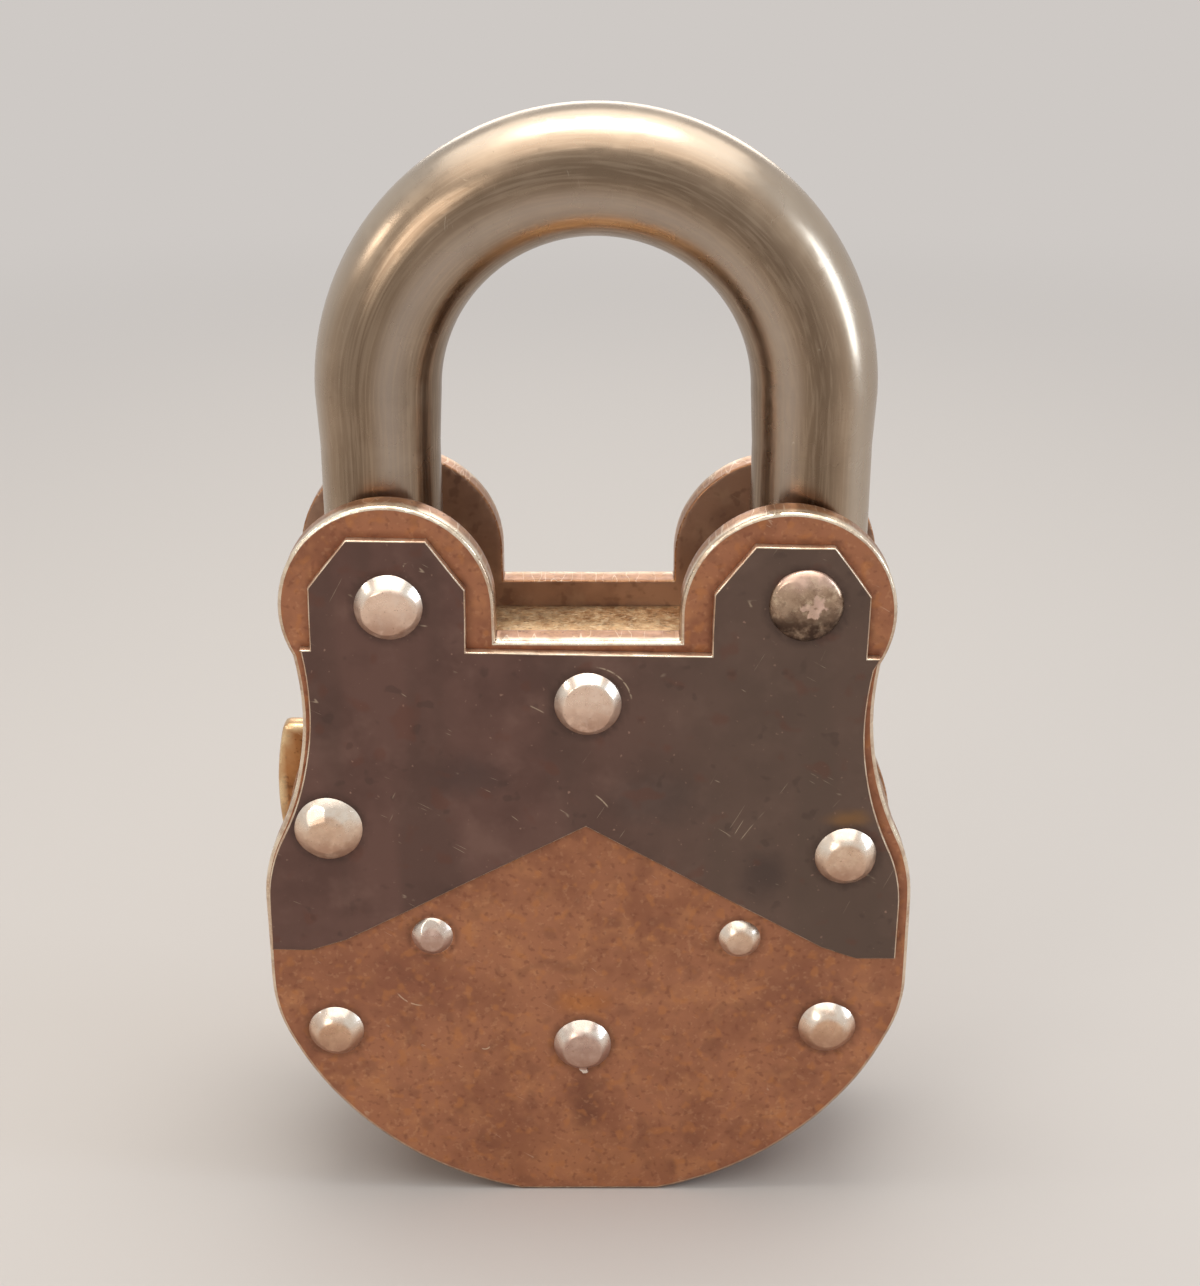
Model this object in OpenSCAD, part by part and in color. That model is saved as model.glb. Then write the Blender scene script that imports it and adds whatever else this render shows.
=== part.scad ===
// Old riveted lever padlock, standing on the flat of its bottom edge.
// X runs across the case, Y from the plain side to the key side, Z up.
// The origin is the middle of the bottom edge.

/* [Case outline] */
// Distance between the two shackle legs, centre to centre
leg_span = 32.4; // [27:0.1:40]
// Height of the straight top edge between the lobes
top_z = 49.2; // [41:0.1:59]
// Radius of each round lobe
lobe_r = 8; // [6.8:0.1:9.5]
// How far each lobe's centre stands inside its shackle leg
lobe_inset = 1.35; // [0.5:0.05:2]
// Height of the lobe centres above the top edge
lobe_rise = 2.3; // [1:0.1:4]
// How much higher the toe lobe was cut than the heel lobe, halved
lobe_dip = 0.25; // [0:0.05:0.5]
// How far the belly stands out past the lobes
belly_out = 2.35; // [1:0.05:4]
// Radius of the belly's rounded sides
side_r = 12.5; // [9:0.1:14]
// How much flatter the bottom arc is than the belly's half width
bottom_ease = 1.1; // [0.5:0.05:3]
// Depth of the worn flat that the case stands on
foot_cut = 0.6; // [0.3:0.05:1]
// Radius of the hollow waist
waist_r = 24; // [18:0.5:30]
// Depth of the narrowest waist below the top edge
waist_below = 5.7; // [4:0.1:8]
// Height of the narrowest waist above the belly's upper side arc
waist_drop = 16; // [14:0.1:18]

/* [Plates and rim] */
// Thickness of each side plate
plate_t = 2.4; // [1.6:0.1:3]
// Clear depth between the side plates
case_gap = 10.6; // [10.2:0.1:13]
// Thickness of each dark cheek
cheek_t = 0.8; // [0.5:0.05:1.2]
// Margin of bare plate round each cheek
cheek_margin = 0.7; // [0.4:0.05:1.5]
// How far each cheek sits out of true, in degrees
cheek_lean = 1; // [0:0.1:1.5]
// Half width of a cheek's lobe
tab_half = 5.75; // [4.5:0.05:6.5]
// Half width of the flat on top of a cheek's lobe
tab_flat = 2.9; // [2:0.05:4]
// Height of a cheek's lobe above the cheek's top edge
tab_rise = 8.6; // [7:0.1:9]
// Height of the corner cut off each lobe
tab_corner = 3.75; // [2:0.05:5]
// Height of the point of the cheek's notched lower edge
notch_z = 34.2; // [30:0.1:38]
// Height of the cheek's lower corners
corner_z = 22.95; // [20:0.05:26]
// Length of the flat at each lower corner
corner_flat = 3.8; // [2:0.1:6]
// Thickness of the rim band
rim_t = 1.4; // [1:0.1:1.8]
// How far the rim stands in from the plates' edge
rim_inset = 0.2; // [0.1:0.05:0.5]
// Depth of the rim's ends below the top edge
rim_end_below = 5; // [4.8:0.1:6]
// Half length of the bridge between the lobes
bridge_half = 9.8; // [8.5:0.1:10.2]
// Thickness of the bridge
bridge_t = 0.9; // [0.6:0.05:1]
// Depth of the bridge's top below the top edge
bridge_below = 2.1; // [1.8:0.05:2.1]

/* [Shackle] */
// Radius of the rod at the legs
leg_r = 4.5; // [3.8:0.05:4.7]
// Radius of the rod round the bow
bow_r = 4.7; // [4:0.05:4.9]
// Height of the bow's centre above the top edge
bow_rise = 17.1; // [14:0.1:22]
// Length over which the rod swells from leg to bow
swell = 4; // [1:0.1:5]
// How far the whole shackle sits towards the heel side
shackle_shift = 0.62; // [0:0.01:0.8]
// Height of the shackle rivet above its lobe's centre
heel_up = 1.1; // [0:0.05:1.2]
// How far the shackle rivet stands outside its lobe's centre
heel_out = 1.15; // [0.8:0.05:1.4]
// Radius of the rounded heel about the shackle rivet
heel_r = 5.35; // [5.3:0.05:5.6]
// How far the toe rivet stands inside its lobe's centre
toe_in = 0.25; // [0:0.05:0.5]
// Height of the toe rivet above its lobe's centre
toe_up = 0.45; // [0:0.05:0.8]
// Depth of the toe's hook below the toe rivet
hook_drop = 11; // [10.8:0.1:12]
// Width filed off the outside of the hook
hook_flat = 1.4; // [1.3:0.05:1.7]
// Wall left behind the hook's notch
hook_wall = 1.4; // [1.2:0.05:1.8]
// Lip left under the hook's notch
hook_lip = 1.5; // [1.2:0.05:1.6]

/* [Rivets] */
// Shank radius of the large rivets
shank_r = 1.5; // [1.2:0.05:1.7]
// Shank radius of the two small posts
post_r = 1.3; // [1:0.05:1.4]
// Height of a formed head
head_h = 0.95; // [0.7:0.05:0.95]
// Height of a small post's head
small_head_h = 0.7; // [0.5:0.05:0.9]
// Height of the shackle rivet's dome
dome_h = 0.95; // [0.7:0.05:0.95]
// Head radius of the toe rivet
toe_head_r = 2.56; // [2:0.02:3]
// Head radius of the shackle rivet
dome_r = 2.85; // [2.2:0.05:3.2]
// Head radius of the top rivet
top_head_r = 2.56; // [2:0.02:3]
// Depth of the top rivet below the top edge
top_rivet_below = 4.7; // [4.5:0.1:5]
// Left waist rivet: distance in from the belly's side
left_waist_in = 5.3; // [4.7:0.1:7.2]
// Left waist rivet: depth below the top edge
left_waist_below = 15.1; // [14.2:0.1:19.2]
// Left waist rivet: head radius
left_waist_head_r = 2.68; // [2:0.02:3]
// Right waist rivet: distance in from the belly's side
right_waist_in = 5.4; // [4.7:0.1:7.2]
// Right waist rivet: depth below the top edge
right_waist_below = 17.5; // [15.2:0.1:20.2]
// Right waist rivet: head radius
right_waist_head_r = 2.44; // [2:0.02:3]
// Left lower rivet: distance in from the bottom arc
left_lower_in = 3.6; // [3.5:0.05:6]
// Left lower rivet: degrees round the bottom arc, below level
left_lower_turn = 26.7; // [22:0.1:40]
// Left lower rivet: head radius
left_lower_head_r = 2.28; // [2:0.02:3]
// Right lower rivet: distance in from the bottom arc
right_lower_in = 4.8; // [3.6:0.05:6]
// Right lower rivet: degrees round the bottom arc, below level
right_lower_turn = 27.3; // [22:0.1:40]
// Right lower rivet: head radius
right_lower_head_r = 2.38; // [2:0.02:3]
// Head radius of the small posts
small_head_r = 1.68; // [1.6:0.02:2.2]

/* [Lock work] */
// Key post: across
key_x = -0.5; // [-1:0.1:1]
// Key post: height
key_z = 14.15; // [13:0.05:15]
// Radius of the key post that the hollow key turns on
drill_r = 1.5; // [1.2:0.05:1.7]
// Head radius of the key post's riveted tail
drill_head_r = 2.34; // [2:0.02:3]
// Radius of the keyhole's round
keyhole_r = 3.6; // [3:0.1:4]
// Width of the keyhole's slot
keyslot_w = 2.4; // [1.6:0.1:3]
// Swing radius of the key's bit
bit_r = 7.2; // [6.5:0.1:7.4]
// Lever post: across
lever_x = 11.9; // [11:0.1:13]
// Lever post: height above the key post
lever_up = 9.8; // [9:0.1:10.5]
// Bolt post: across
bolt_post_x = 12.3; // [12:0.1:13]
// Bolt post: height above the key post
bolt_post_up = 10.05; // [9.5:0.05:10.5]
// Travel of the bolt
bolt_throw = 4.5; // [3.5:0.1:4.6]
// Height of the bolt's head
bolt_head_h = 2.8; // [2.4:0.1:2.9]
// Thickness of the bolt
bolt_t = 2.8; // [2:0.1:2.8]
// Side of the square bolt stump
stump_w = 2.2; // [1.8:0.1:2.4]
// Stump's place left of the middle, bolt withdrawn
stump_x = 2.6; // [2.4:0.1:3]
// Height of the stump above the key post
stump_up = 13.35; // [13:0.05:14]
// Thickness of one lever
lever_t = 1.3; // [1:0.05:1.3]
// Gap between the lock work's layers
layer_gap = 0.3; // [0.25:0.01:0.35]
// Angle that a lever drops below its gate height
lever_drop = 4; // [2:0.5:4]
// Angle that a lever lifts above its gate height
lever_lift = 5; // [3:0.5:5]
// Thickness of a lever's leaf spring
leaf_t = 0.4; // [0.3:0.05:0.5]

/* [Keyhole cover] */
// Height of the cover's pivot
cover_z = 28; // [26:0.1:30]
// Reach of the cover from its pivot to its end
cover_reach = 26.8; // [22:0.1:28]
// Width of the cover
cover_w = 13; // [9:0.5:14]
// Radius of the cover round its pivot
cover_hub_r = 4.2; // [3.5:0.1:5]
// Thickness of the cover
cover_t = 2; // [1.2:0.1:2.4]
// Head radius of the cover's rivet
cover_head_r = 2.6; // [2.2:0.05:3]

/* [Hidden] */
$fn = 96;

// Clearances
turn_fit = 0.06;       // round a pin that something turns on, radial
rivet_fit = 0.02;      // round a rivet in its plates, radial
slide_fit = 0.3;       // beside the bolt and the stump
pass_fit = 0.35;       // round the toe rivet as the hook passes it
cover_fit = 0.2;       // above and below the keyhole cover
leaf_fit = 0.2;        // between a leaf spring and the top rivet
cut = 1;               // how far a cutter runs past what it cuts

// Case outline
lobe_x = leg_span / 2 - lobe_inset;
lobe_z = top_z + lobe_rise;
half_w = lobe_x + lobe_r + belly_out;
bottom_r = half_w + bottom_ease;
bottom_cz = bottom_r - foot_cut;
side_x = half_w - side_r;
low_z = bottom_cz - sqrt(pow(bottom_r - side_r, 2) - pow(side_x, 2));
waist_z = top_z - waist_below;
high_z = waist_z - waist_drop;
waist_x = side_x + sqrt(pow(side_r + waist_r, 2) - pow(waist_drop, 2));

// Depth of each layer from the middle plane
inner_y = case_gap / 2;
plate_y = inner_y + plate_t;
cheek_y = plate_y + cheek_t;

// Shackle
leg_x = leg_span / 2;
bow_z = top_z + bow_rise;
heel = [lobe_x + heel_out, lobe_z - lobe_dip + heel_up];
toe = [-lobe_x + toe_in, lobe_z + lobe_dip + toe_up];
toe_leg_x = shackle_shift - leg_x;
heel_leg_x = shackle_shift + leg_x;
toe_path_r = norm(heel - toe) + shank_r + pass_fit;
hook_z = toe[1] - hook_drop;
hook_x = toe_leg_x - leg_r + hook_flat;

// Bridge
bridge_z = top_z - bridge_below - bridge_t;

// Rivet places
top_rivet = [0, top_z - top_rivet_below];
left_waist = [left_waist_in - half_w, top_z - left_waist_below];
right_waist = [half_w - right_waist_in, top_z - right_waist_below];
left_lower = on_bottom(bottom_r - left_lower_in, 180 + left_lower_turn);
right_lower = on_bottom(bottom_r - right_lower_in, -right_lower_turn);
drill = [key_x, key_z];
lever_pivot = [lever_x, key_z + lever_up];
bolt_post = [-bolt_post_x, key_z + bolt_post_up];

// Bolt, drawn withdrawn
bolt_z = hook_z + hook_lip + slide_fit;
tip_x = hook_x + hook_wall + slide_fit + bolt_throw;
bolt_top = bolt_z + bolt_head_h;
slot_wall = 1.7;
bar_foot = top_rivet[1] - shank_r - slide_fit - slot_wall;
bar_end = top_rivet[0] + bolt_throw + shank_r + slide_fit + slot_wall;
web_left = -8.5;
web_right = 6.5;
talon_depth = 3.3;
talon_z = key_z + bit_r - 3;
talon_w = 4.4;
talon_x = key_x + (bolt_throw - talon_w) / 2;
foot_half = post_r + slide_fit + 1.2;
foot_left = bolt_post[0] - foot_half;
bolt_y = -inner_y + layer_gap;
stump = [-stump_x, key_z + stump_up];
tenon_r = 0.9;

// Levers
stack_y = bolt_y + bolt_t + layer_gap;
hub_r = 3.1;
belly_up = [5.3, 5.7, 5.1, 5.5];
pocket_side = 0.6;
pocket_reach = stump_x + bolt_throw + stump_w + lever_x;
pocket_low = pocket_reach * sin(lever_lift) + slide_fit;
pocket_high = pocket_reach * sin(lever_drop) + slide_fit;
lever_end = stump[0] - bolt_throw - stump_w / 2 - pocket_side - slot_wall;
lever_top = stump[1] + stump_w / 2 + pocket_high + slot_wall;
lever_belly = [-4, 3];
lever_nose_z = stump[1] - 6.3;
leaf_bow = 84.7;       // angle that a leaf turns through between its foot and its seat
leaf_lean = 71.6;      // direction from the leaf's seat to the top rivet
leaf_foot = lever_pivot + [-4.2, 4.2];
leaf_seat = top_rivet - (shank_r + leaf_fit) * [cos(leaf_lean), sin(leaf_lean)];
leaf_chord = leaf_seat - leaf_foot;
leaf_r = norm(leaf_chord) / (2 * sin(leaf_bow / 2));
leaf_square = [-leaf_chord[1], leaf_chord[0]] / norm(leaf_chord);
leaf_centre = (leaf_foot + leaf_seat) / 2 + leaf_r * cos(leaf_bow / 2) * leaf_square;
leaf_root = leaf_foot - [3.8, 0];
leaf_tip = top_rivet + [-2, 4];

// Keyhole cover
cover_y = cheek_y + head_h + slide_fit;
cover_top = cover_y + cover_t + cover_fit;
cover_widest = -cover_reach * 0.55;
washer_r = cover_hub_r - 0.8;

// The point at radius r and an angle round the centre of the bottom arc.
function on_bottom(r, angle) = [0, bottom_cz] + r * [cos(angle), sin(angle)];

// Draws a flat shape of X and Z as a slab from depth y0 to depth y1.
module slab(y0, y1) {
    translate([0, y1, 0]) rotate([90, 0, 0]) linear_extrude(y1 - y0) children();
}

module hole(at, r) {
    translate(at) circle(r);
}

// Outline of the side plates, smaller all round by inset and cut flat at height foot.
module case_face(inset = 0, foot = 0) {
    arc_r = bottom_r - inset;
    belly_x = arc_r * side_x / (bottom_r - side_r);
    turn = side_r / (side_r + waist_r);
    neck = [side_x + (waist_x - side_x) * turn, high_z + waist_drop * turn];
    shoulder_x = lobe_x + sqrt(pow(lobe_r - inset, 2) - pow(lobe_rise + inset, 2));
    intersection() {
        translate([0, bottom_cz]) circle(arc_r, $fn = 180);
        translate([-belly_x, foot]) square([2 * belly_x, low_z - foot]);
    }
    for (side = [-1, 1]) {
        translate([side * side_x, low_z]) circle(side_r - inset);
        translate([side * side_x, high_z]) circle(side_r - inset);
        translate([side * lobe_x, lobe_z - side * lobe_dip]) circle(lobe_r - inset);
        translate([side * (lobe_x - (lobe_r - inset) / 2), (waist_z + lobe_z) / 2])
            square([lobe_r - inset, lobe_z - waist_z], center = true);
    }
    belly_w = 2 * (half_w - inset);
    translate([-belly_w / 2, min(low_z, high_z)]) square([belly_w, abs(high_z - low_z)]);
    difference() {
        polygon([
            [-side_x, low_z], [side_x, low_z], neck - [inset, 0],
            [shoulder_x, top_z - inset], [-shoulder_x, top_z - inset],
            [inset - neck[0], neck[1]]
        ]);
        for (side = [-1, 1]) translate([side * waist_x, waist_z]) circle(waist_r + inset, $fn = 180);
    }
}

// Outline of a cheek, square to the case.
module cheek_face() {
    edge_z = top_z - cheek_margin;
    corner_x = half_w - corner_flat;
    ease = [corner_x - 2.8, corner_z + 0.95];
    chamfer_z = tab_rise - tab_corner;
    intersection() {
        case_face(cheek_margin);
        polygon([
            [0, notch_z], ease, [corner_x, corner_z], [2 * half_w, corner_z],
            [2 * half_w, edge_z], [-2 * half_w, edge_z],
            [-2 * half_w, corner_z], [-corner_x, corner_z], [-ease[0], ease[1]]
        ]);
    }
    for (side = [-1, 1]) translate([side * lobe_x, edge_z]) polygon([
        [-tab_half, -tab_flat], [tab_half, -tab_flat], [tab_half, chamfer_z],
        [tab_flat, tab_rise], [-tab_flat, tab_rise], [-tab_half, chamfer_z]
    ]);
}

// The rivets that pass through both plates, with the large shanks.
module shank_holes() {
    for (at = [heel, toe, top_rivet, left_waist, right_waist, left_lower, right_lower])
        hole(at, shank_r + rivet_fit);
}

module post_holes() {
    for (at = [lever_pivot, bolt_post]) hole(at, post_r + rivet_fit);
}

module keyhole() {
    hole(drill, keyhole_r);
    translate([key_x - keyslot_w / 2, key_z - bit_r]) square([keyslot_w, bit_r]);
}

module plain_side_plate() {
    color([0.47, 0.29, 0.19]) slab(-plate_y, -inner_y) difference() {
        case_face();
        shank_holes();
        post_holes();
        hole(drill, drill_r + rivet_fit);
    }
}

module key_side_plate() {
    color([0.47, 0.29, 0.19]) slab(inner_y, plate_y) difference() {
        case_face();
        shank_holes();
        post_holes();
        keyhole();
        hole([0, cover_z], shank_r + rivet_fit);
    }
}

module cheek(y0, lean) {
    color([0.27, 0.21, 0.18]) slab(y0, y0 + cheek_t) difference() {
        translate(top_rivet) rotate(lean) translate(-top_rivet) cheek_face();
        shank_holes();
    }
}

module plain_side_cheek() {
    cheek(-cheek_y, -cheek_lean);
}

module key_side_cheek() {
    cheek(plate_y, cheek_lean);
}

module rim_band() {
    color([0.66, 0.50, 0.27]) slab(-inner_y, inner_y) intersection() {
        difference() {
            case_face(rim_inset);
            case_face(rim_inset + rim_t, rim_t);
        }
        translate([-2 * half_w, -cut]) square([4 * half_w, top_z - rim_end_below + cut]);
    }
}

module top_bridge() {
    color([0.70, 0.53, 0.28]) slab(-inner_y, inner_y)
        translate([-bridge_half, bridge_z]) square([2 * bridge_half, bridge_t]);
}

// A straight leg from z0 up to the bow, swelling to the bow's thickness.
module leg(x, z0) {
    translate([x, 0, z0]) cylinder(r = leg_r, h = bow_z - swell - z0);
    translate([x, 0, bow_z - swell]) cylinder(r1 = leg_r, r2 = bow_r, h = swell);
}

module heel_leg() {
    difference() {
        union() {
            leg(heel_leg_x, heel[1]);
            intersection() {
                translate([heel_leg_x, 0, heel[1] - heel_r]) cylinder(r = leg_r, h = heel_r);
                slab(-inner_y, inner_y) hole(heel, heel_r);
            }
        }
        slab(-inner_y, inner_y) hole(heel, shank_r + turn_fit);
    }
}

module toe_leg() {
    difference() {
        leg(toe_leg_x, hook_z);
        slab(-inner_y, inner_y) {
            hole(toe, shank_r + pass_fit);
            intersection() {
                translate(heel) circle(toe_path_r, $fn = 180);
                translate([hook_x, hook_z - cut]) square([2 * leg_span, hook_drop + cut]);
            }
            translate([hook_x + hook_wall, hook_z + hook_lip])
                square([4 * leg_r, bolt_head_h + 2 * slide_fit]);
            translate([hook_x - 2 * hook_flat, hook_z - cut])
                square([2 * hook_flat, hook_drop + cut]);
        }
    }
}

module shackle() {
    color([0.46, 0.42, 0.36]) {
        heel_leg();
        toe_leg();
        translate([shackle_shift, 0, bow_z]) rotate([90, 0, 0])
            rotate_extrude(angle = 180) translate([leg_x, 0]) circle(bow_r);
    }
}

// A shank between depths y0 and y1.
module shank(at, r, y0, y1) {
    slab(y0, y1) hole(at, r);
}

// A formed head with a bevelled rim, standing out from depth y.
module head(at, r, h, y) {
    rim = h * 0.4;
    bevel = h - rim;
    translate([at[0], y, at[1]]) rotate([y < 0 ? 90 : -90, 0, 0]) {
        cylinder(r = r, h = rim);
        translate([0, 0, rim]) cylinder(r1 = r, r2 = r - 1.2 * bevel, h = bevel);
    }
}

module dome(at, r, h, y) {
    ball = (r * r + h * h) / (2 * h);
    turn = y < 0 ? 90 : -90;
    translate([at[0], y, at[1]]) rotate([turn, 0, 0]) intersection() {
        cylinder(r = r + cut, h = h + cut);
        translate([0, 0, h - ball]) sphere(ball);
    }
}

// A rivet with the same head at both ends, seated at depth seat each side.
module rivet(at, r, head_r, h, seat) {
    shank(at, r, -seat, seat);
    for (side = [-1, 1]) head(at, head_r, h, side * seat);
}

module shackle_rivet() {
    color([0.24, 0.20, 0.18]) {
        shank(heel, shank_r, -cheek_y, cheek_y);
        for (side = [-1, 1]) dome(heel, dome_r, dome_h, side * cheek_y);
    }
}

module toe_rivet() {
    color([0.80, 0.72, 0.64]) rivet(toe, shank_r, toe_head_r, head_h, cheek_y);
}

module top_rivet() {
    color([0.80, 0.72, 0.64]) rivet(top_rivet, shank_r, top_head_r, head_h, cheek_y);
}

module left_waist_rivet() {
    color([0.78, 0.66, 0.54])
        rivet(left_waist, shank_r, left_waist_head_r, head_h, cheek_y);
}

module right_waist_rivet() {
    color([0.78, 0.66, 0.54])
        rivet(right_waist, shank_r, right_waist_head_r, head_h, cheek_y);
}

module left_lower_rivet() {
    color([0.72, 0.58, 0.46])
        rivet(left_lower, shank_r, left_lower_head_r, head_h, plate_y);
}

module right_lower_rivet() {
    color([0.72, 0.58, 0.46])
        rivet(right_lower, shank_r, right_lower_head_r, head_h, plate_y);
}

// Riveted through the plain side; its free end stands in the keyhole.
module drill_pin() {
    color([0.70, 0.62, 0.54]) {
        shank(drill, drill_r, -plate_y, inner_y + plate_t / 2);
        head(drill, drill_head_r, head_h, -plate_y);
    }
}

module bolt_post() {
    color([0.74, 0.66, 0.58]) rivet(bolt_post, post_r, small_head_r, small_head_h, plate_y);
}

module lever_post() {
    color([0.74, 0.66, 0.58]) rivet(lever_pivot, post_r, small_head_r, small_head_h, plate_y);
}

module collar(y0, y1) {
    color([0.68, 0.52, 0.28]) slab(y0, y1) difference() {
        hole(lever_pivot, hub_r);
        hole(lever_pivot, post_r + rivet_fit);
    }
}

module plain_side_collar() {
    collar(-inner_y, stack_y - layer_gap);
}

module key_side_collar() {
    collar(stack_y + 4 * (lever_t + layer_gap), inner_y);
}

// Slot that a fixed pin runs along while the bolt travels left.
module travel_slot(at, r) {
    hole(at, r);
    hole(at + [bolt_throw, 0], r);
    translate(at - [0, r]) square([bolt_throw, 2 * r]);
}

module bolt() {
    color([0.62, 0.56, 0.50]) slab(bolt_y, bolt_y + bolt_t) difference() {
        union() {
            translate([tip_x, bolt_z]) square([bar_end - tip_x, bolt_head_h]);
            translate([web_left, bar_foot]) square([bar_end - web_left, bolt_top - bar_foot]);
            translate([web_left, talon_z]) square([web_right - web_left, bar_foot - talon_z]);
            translate([foot_left, bolt_post[1] - foot_half])
                square([web_left - foot_left, 2 * foot_half]);
        }
        travel_slot(top_rivet, shank_r + slide_fit);
        translate(top_rivet - [shank_r + slide_fit, 0])
            square([bolt_throw + 2 * (shank_r + slide_fit), bolt_head_h]);
        travel_slot(bolt_post, post_r + slide_fit);
        translate([talon_x, talon_z - cut]) square([talon_w, cut + talon_depth]);
        hole(stump, tenon_r + rivet_fit);
    }
}

module bolt_stump() {
    color([0.62, 0.56, 0.50]) {
        shank(stump, tenon_r, bolt_y, bolt_y + bolt_t);
        slab(bolt_y + bolt_t, stack_y + 4 * (lever_t + layer_gap))
            translate(stump) square(stump_w, center = true);
    }
}

// One end pocket of a lever's gate, round the stump at x.
module pocket(x) {
    half = stump_w / 2;
    translate([x - half - pocket_side, stump[1] - half - pocket_low])
        square([stump_w + 2 * pocket_side, stump_w + pocket_low + pocket_high]);
}

// The curved leaf of a lever's spring, thicker all round by extra.
module leaf_face(extra = 0) {
    reach = 2 * leaf_r;
    intersection() {
        translate(leaf_centre) difference() {
            circle(leaf_r + extra);
            circle(leaf_r - leaf_t - extra);
        }
        polygon([
            leaf_centre, leaf_root - [0, extra], [reach, leaf_root[1] - extra],
            [reach, leaf_tip[1]], leaf_tip
        ]);
    }
}

module lever(number) {
    y0 = stack_y + number * (lever_t + layer_gap);
    belly_z = key_z + belly_up[number];
    gate_w = bolt_throw + stump_w;
    color([0.72, 0.57, 0.32]) slab(y0, y0 + lever_t) difference() {
        union() {
            hole(lever_pivot, hub_r);
            polygon([
                [lever_end, lever_nose_z], [lever_belly[0], belly_z], [lever_belly[1], belly_z],
                lever_pivot - [0, hub_r], lever_pivot + [0, hub_r],
                [leaf_root[0], lever_top], [lever_end, lever_top]
            ]);
        }
        hole(lever_pivot, post_r + turn_fit);
        pocket(stump[0]);
        pocket(stump[0] - bolt_throw);
        translate([stump[0] - gate_w, stump[1] - stump_w / 2 - slide_fit])
            square([gate_w, stump_w + 2 * slide_fit]);
        leaf_face(rivet_fit);
    }
}

module lever_1() {
    lever(0);
}

module lever_2() {
    lever(1);
}

module lever_3() {
    lever(2);
}

module lever_4() {
    lever(3);
}

module lever_spring(number) {
    y0 = stack_y + number * (lever_t + layer_gap);
    color([0.45, 0.46, 0.50]) slab(y0 + 0.1, y0 + lever_t - 0.1) leaf_face();
}

module lever_spring_1() {
    lever_spring(0);
}

module lever_spring_2() {
    lever_spring(1);
}

module lever_spring_3() {
    lever_spring(2);
}

module lever_spring_4() {
    lever_spring(3);
}

// The drop over the keyhole, swung out to the left.
module keyhole_cover() {
    half = cover_w / 2;
    color([0.72, 0.52, 0.22]) slab(cover_y, cover_y + cover_t) translate([0, cover_z])
        difference() {
            intersection() {
                circle(cover_reach, $fn = 180);
                union() {
                    circle(cover_hub_r);
                    polygon([
                        [0, cover_hub_r], [cover_widest, half], [-2 * cover_reach, half],
                        [-2 * cover_reach, -half], [cover_widest, -half], [0, -cover_hub_r]
                    ]);
                }
            }
            circle(shank_r + turn_fit);
        }
}

module cover_washer() {
    color([0.70, 0.53, 0.28]) slab(plate_y, cover_y - cover_fit) difference() {
        hole([0, cover_z], washer_r);
        hole([0, cover_z], shank_r + rivet_fit);
    }
}

module cover_rivet() {
    color([0.74, 0.60, 0.36]) {
        shank([0, cover_z], shank_r, inner_y, cover_top);
        head([0, cover_z], cover_head_r, head_h, cover_top);
    }
}

plain_side_plate();
key_side_plate();
plain_side_cheek();
key_side_cheek();
rim_band();
top_bridge();
shackle();
shackle_rivet();
toe_rivet();
top_rivet();
left_waist_rivet();
right_waist_rivet();
left_lower_rivet();
right_lower_rivet();
drill_pin();
bolt_post();
lever_post();
plain_side_collar();
key_side_collar();
bolt();
bolt_stump();
lever_1();
lever_2();
lever_3();
lever_4();
lever_spring_1();
lever_spring_2();
lever_spring_3();
lever_spring_4();
keyhole_cover();
cover_washer();
cover_rivet();
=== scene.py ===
import bpy
import bmesh
import math
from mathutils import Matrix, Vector, kdtree, noise


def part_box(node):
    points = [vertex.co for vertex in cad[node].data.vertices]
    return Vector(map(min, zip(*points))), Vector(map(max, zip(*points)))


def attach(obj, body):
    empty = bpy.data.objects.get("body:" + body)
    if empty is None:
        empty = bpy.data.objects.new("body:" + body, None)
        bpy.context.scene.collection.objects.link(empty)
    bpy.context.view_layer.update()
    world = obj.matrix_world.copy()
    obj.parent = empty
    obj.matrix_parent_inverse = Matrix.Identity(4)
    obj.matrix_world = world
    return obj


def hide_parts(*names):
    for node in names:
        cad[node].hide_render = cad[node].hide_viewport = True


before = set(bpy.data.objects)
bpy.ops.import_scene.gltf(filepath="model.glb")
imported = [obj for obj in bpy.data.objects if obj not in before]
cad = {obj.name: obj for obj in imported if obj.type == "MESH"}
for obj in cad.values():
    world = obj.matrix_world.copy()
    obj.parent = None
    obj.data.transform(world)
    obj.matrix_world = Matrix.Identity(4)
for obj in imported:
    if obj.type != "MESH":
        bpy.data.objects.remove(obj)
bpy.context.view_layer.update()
mm = 0.001
noise.seed_set(1)  # without a seed, noise_vector is not the same from one run to the next


def middle(node):
    low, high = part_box(node)
    return (low + high) / 2


def tint(red, green, blue):
    # display values from 0 to 255, turned into linear light
    out = []
    for value in (red, green, blue):
        value /= 255
        out.append(value / 12.92 if value < 0.04045 else ((value + 0.055) / 1.055) ** 2.4)
    return (*out, 1.0)


def ease(low, high, value):
    t = min(max((value - low) / (high - low), 0.0), 1.0)
    return t * t * (3 - 2 * t)


# camera, floor and light

view = {
    "place": (0.9, -144.7, 104.7),  # mm
    "tilt": 22.09,  # degrees down from level
    "lens": 59.88,
    "sensor": 36.0,
    "near": 0.005,  # m
}
cameraData = bpy.data.cameras.new("viewCamera")
cameraData.sensor_fit = "HORIZONTAL"
cameraData.sensor_width = view["sensor"]
cameraData.lens = view["lens"]
cameraData.clip_start = view["near"]
camera = bpy.data.objects.new("viewCamera", cameraData)
camera.location = [v * mm for v in view["place"]]
camera.rotation_euler = (math.radians(90 - view["tilt"]), 0, 0)
bpy.context.collection.objects.link(camera)
bpy.context.scene.camera = camera
bpy.context.scene.view_settings.view_transform = "Standard"

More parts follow.
